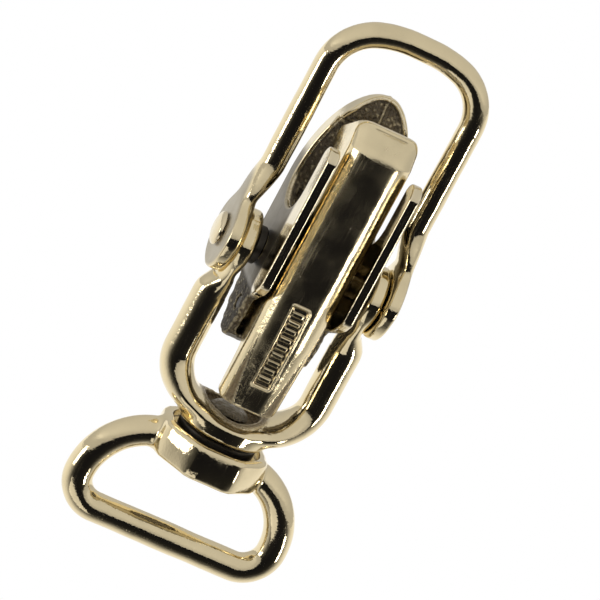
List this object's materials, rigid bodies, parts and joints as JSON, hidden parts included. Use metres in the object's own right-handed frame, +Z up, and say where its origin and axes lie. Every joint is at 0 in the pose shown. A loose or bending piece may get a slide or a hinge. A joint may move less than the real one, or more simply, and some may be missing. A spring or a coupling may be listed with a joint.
{
  "type": "swivel snap shackle",
  "caption": "Swivel snap shackle: webbing ring on a riveted swivel, fork, hook with a sprung thumb gate, and a swinging rectangular bail.",
  "frame": {"origin": "centre of the webbing bar, the straight bar of the D ring that a 25 mm strap holds", "axes": "+Z up the pull line from the hook to the webbing bar, X along the main axle, -Y the gate's side"},
  "size_m": [0.0384, 0.0198, 0.0926],
  "materials": {
    "plated_casting": "polished pale nickel plate on cast brass",
    "rough_casting": "nickel plate over as-cast brass, polished on the outside only",
    "plated_rivet": "plated, peened by hand",
    "steel": "turned steel",
    "spring_steel": "drawn spring wire"
  },
  "bodies": {
    "ring": {"d_ring": "plated_casting", "swivel_washer": "steel"},
    "yoke": {"fork": "plated_casting", "swivel_stem": "plated_rivet", "axle_pin": "plated_rivet", "left_sleeve": "steel", "right_sleeve": "steel"},
    "hook": {"hook_body": "rough_casting", "gate_pin": "steel", "gate_spring": "spring_steel"},
    "gate": {"gate_lever": "plated_casting"},
    "bail": {"bail": "plated_casting"}
  },
  "joints": [
    {"name": "ring_swivel", "type": "hinge", "parent": "ring", "child": "yoke", "pos_m": [0, 0, -0.0198], "axis": [0, 0, 1], "continuous": true},
    {"name": "hook_swing", "type": "hinge", "parent": "yoke", "child": "hook", "pos_m": [0, 0, -0.0494], "axis": [1, 0, 0], "range_deg": [-105, 130]},
    {"name": "bail_swing", "type": "hinge", "parent": "yoke", "child": "bail", "pos_m": [0, 0, -0.0494], "axis": [1, 0, 0], "range_deg": [-130, 130]},
    {"name": "gate_open", "type": "hinge", "parent": "hook", "child": "gate", "pos_m": [0, 0.0003, -0.0398], "axis": [-1, 0, 0], "range_deg": [0, 15], "stiffness_Nm_per_rad": 0.1, "springref_deg": -34.38, "deforming": ["gate_spring"]}
  ]
}
